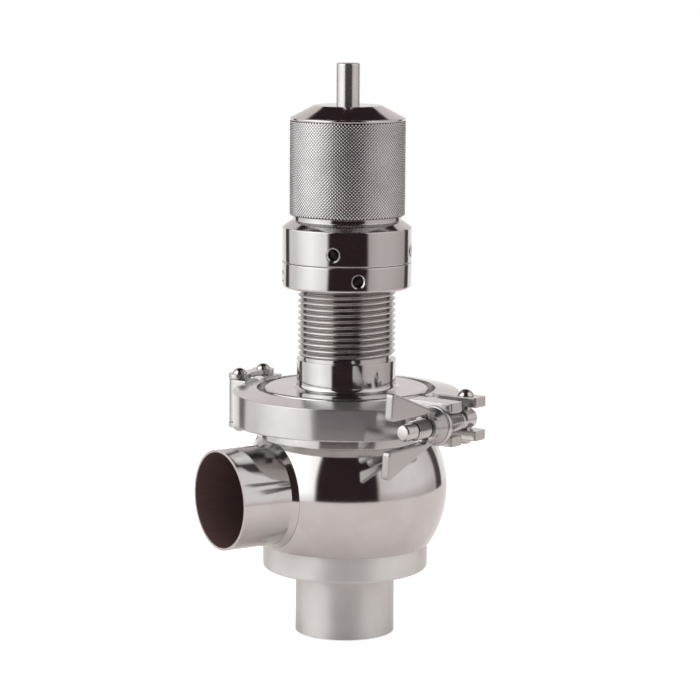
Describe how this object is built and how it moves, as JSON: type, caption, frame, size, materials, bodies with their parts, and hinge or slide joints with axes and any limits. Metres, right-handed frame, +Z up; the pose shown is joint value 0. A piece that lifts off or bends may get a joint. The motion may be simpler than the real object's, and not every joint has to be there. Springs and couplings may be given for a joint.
{
  "type": "overflow relief valve",
  "caption": "Spring-loaded overflow relief valve with a ball chamber, a side port, a swing-bolt clamp and a threaded adjusting cap with its lock ring.",
  "frame": {"origin": "centre of the bottom port's end face", "axes": "+Z up the stem, the side port points along -X, +Y completes a right-handed frame"},
  "size_m": [0.133, 0.1526, 0.2925],
  "materials": {
    "polished_steel": "mirror polished stainless steel",
    "cast_steel": "satin cast stainless steel",
    "spring_steel": "drawn stainless wire",
    "seal_rubber": "matte",
    "bush_plastic": "matte fluoropolymer"
  },
  "bodies": {
    "valve_body": {"bottom_port_tube": "polished_steel", "side_port_tube": "polished_steel", "seat_ring": "polished_steel", "ball_body": "polished_steel", "body_flange": "polished_steel", "body_gasket": "seal_rubber", "bonnet": "polished_steel", "guide_bush": "bush_plastic", "stem_seal": "seal_rubber", "spring": "spring_steel", "clamp_half_front": "cast_steel", "clamp_half_rear": "cast_steel", "hinge_link_top": "cast_steel", "hinge_link_bottom": "cast_steel", "hinge_pin_front": "polished_steel", "hinge_pin_rear": "polished_steel", "bolt_pin": "polished_steel"},
    "stem": {"stem": "polished_steel", "valve_plug": "polished_steel", "plug_seal": "seal_rubber", "seal_keeper": "polished_steel", "plug_nut": "polished_steel", "snap_ring": "spring_steel", "lower_spring_plate": "polished_steel"},
    "cap_carrier": {"upper_spring_plate": "polished_steel", "thrust_washer": "bush_plastic"},
    "cap": {"adjusting_cap": "polished_steel", "stem_bush": "bush_plastic"},
    "lock_carrier": {"lock_washer": "bush_plastic"},
    "lock_ring": {"lock_ring": "polished_steel"},
    "swing_bolt": {"swing_bolt": "polished_steel"},
    "nut_collar": {"nut_collar": "polished_steel"},
    "wing_nut": {"wing_nut": "cast_steel"}
  },
  "joints": [
    {"name": "stem_lift", "type": "slide", "parent": "valve_body", "child": "stem", "axis": [0, 0, 1], "range_m": [0, 0.012], "stiffness_N_per_m": 26000, "springref_m": -0.006, "deforming": ["spring"]},
    {"name": "cap_feed", "type": "slide", "parent": "valve_body", "child": "cap_carrier", "axis": [0, 0, 1], "range_m": [-0.01801, 0.00601], "deforming": ["spring"]},
    {"name": "cap_turn", "type": "hinge", "parent": "cap_carrier", "child": "cap", "pos_m": [0, 0, 0.2], "axis": [0, 0, 1], "range_deg": [-2160, 720]},
    {"name": "lock_feed", "type": "slide", "parent": "cap", "child": "lock_carrier", "axis": [0, 0, 1], "range_m": [-0.01801, 0]},
    {"name": "lock_turn", "type": "hinge", "parent": "lock_carrier", "child": "lock_ring", "pos_m": [0, 0, 0.185], "axis": [0, 0, 1], "range_deg": [-2160, 0]},
    {"name": "bolt_swing", "type": "hinge", "parent": "valve_body", "child": "swing_bolt", "pos_m": [0.03385, -0.05837, 0.1165], "axis": [0, 0, 1], "range_deg": [0, 75.1]},
    {"name": "nut_feed", "type": "slide", "parent": "swing_bolt", "child": "nut_collar", "axis": [-0.9342, -0.3567, 0], "range_m": [0, 0.01501]},
    {"name": "nut_turn", "type": "hinge", "parent": "nut_collar", "child": "wing_nut", "pos_m": [0.00942, -0.06769, 0.1165], "axis": [-0.9342, -0.3567, 0], "range_deg": [0, 3600]}
  ],
  "couplings": [
    {"joint": "cap_feed", "follows": "cap_turn", "m_per_rad": 0.00047746},
    {"joint": "lock_feed", "follows": "lock_turn", "m_per_rad": 0.00047746},
    {"joint": "nut_feed", "follows": "nut_turn", "m_per_rad": 0.00023873},
    {"joint": "bolt_swing", "follows": "nut_turn", "ratio": 0.020833}
  ]
}
